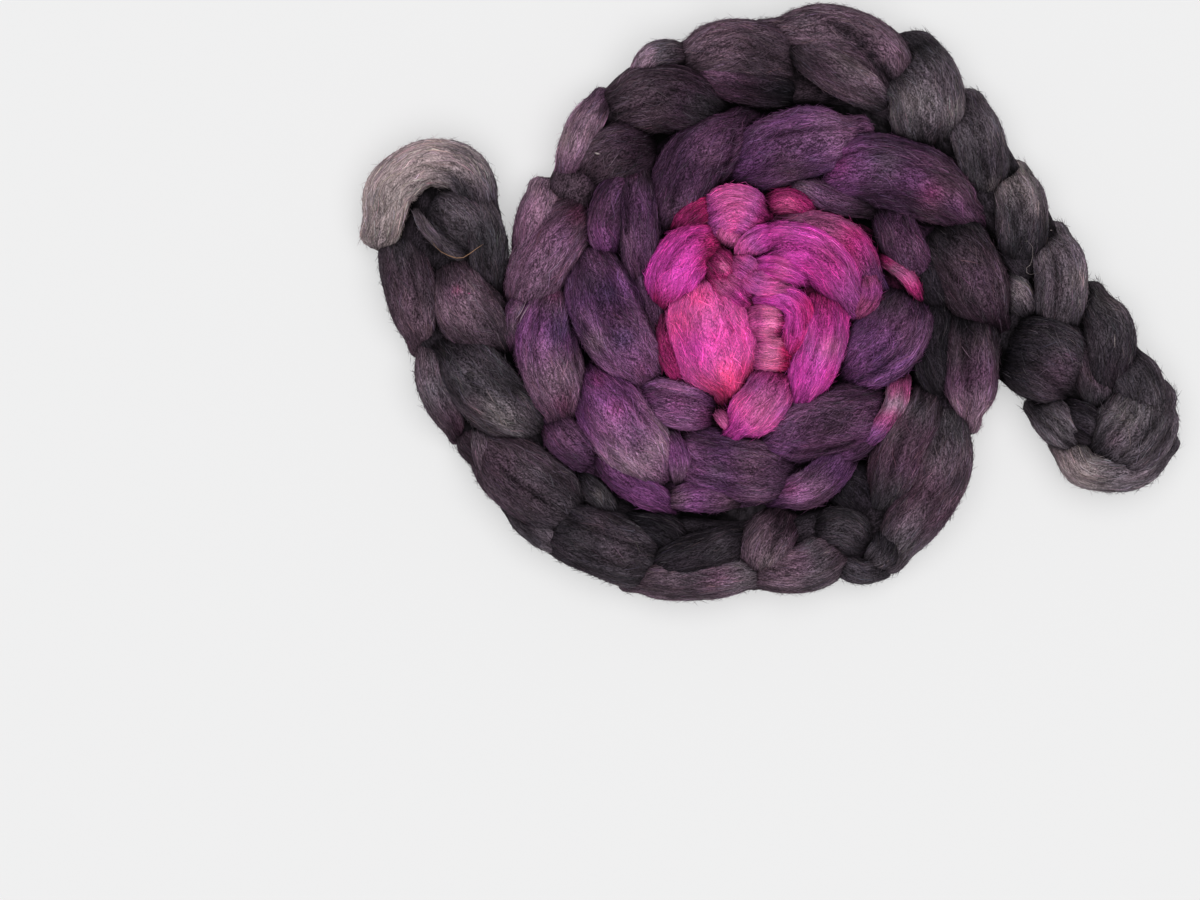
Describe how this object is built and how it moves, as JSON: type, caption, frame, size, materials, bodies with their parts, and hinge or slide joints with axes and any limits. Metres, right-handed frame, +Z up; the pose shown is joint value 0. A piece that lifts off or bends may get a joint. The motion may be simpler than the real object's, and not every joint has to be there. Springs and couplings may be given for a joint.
{
  "type": "coiled braid of combed wool roving",
  "caption": "Soft chain-braided length of hand-dyed combed wool roving, wound flat into a coil with its looped ends loose, lying on a surface.",
  "frame": {"origin": "middle of the coil in plan, on the surface it lies on", "axes": "+X across the coil's longest width, from the left loose end to the right one; +Y across its shorter width; +Z up off the surface"},
  "size_m": [0.5689, 0.4195, 0.0639],
  "materials": {
    "wool": "matt combed wool fibre with a faint silky sheen, dyed charcoal and grey-mauve at its ends through plum and violet to magenta and pale pink in the middle"
  },
  "bodies": {
    "root": {"braid_coil": "wool"}
  },
  "joints": []
}
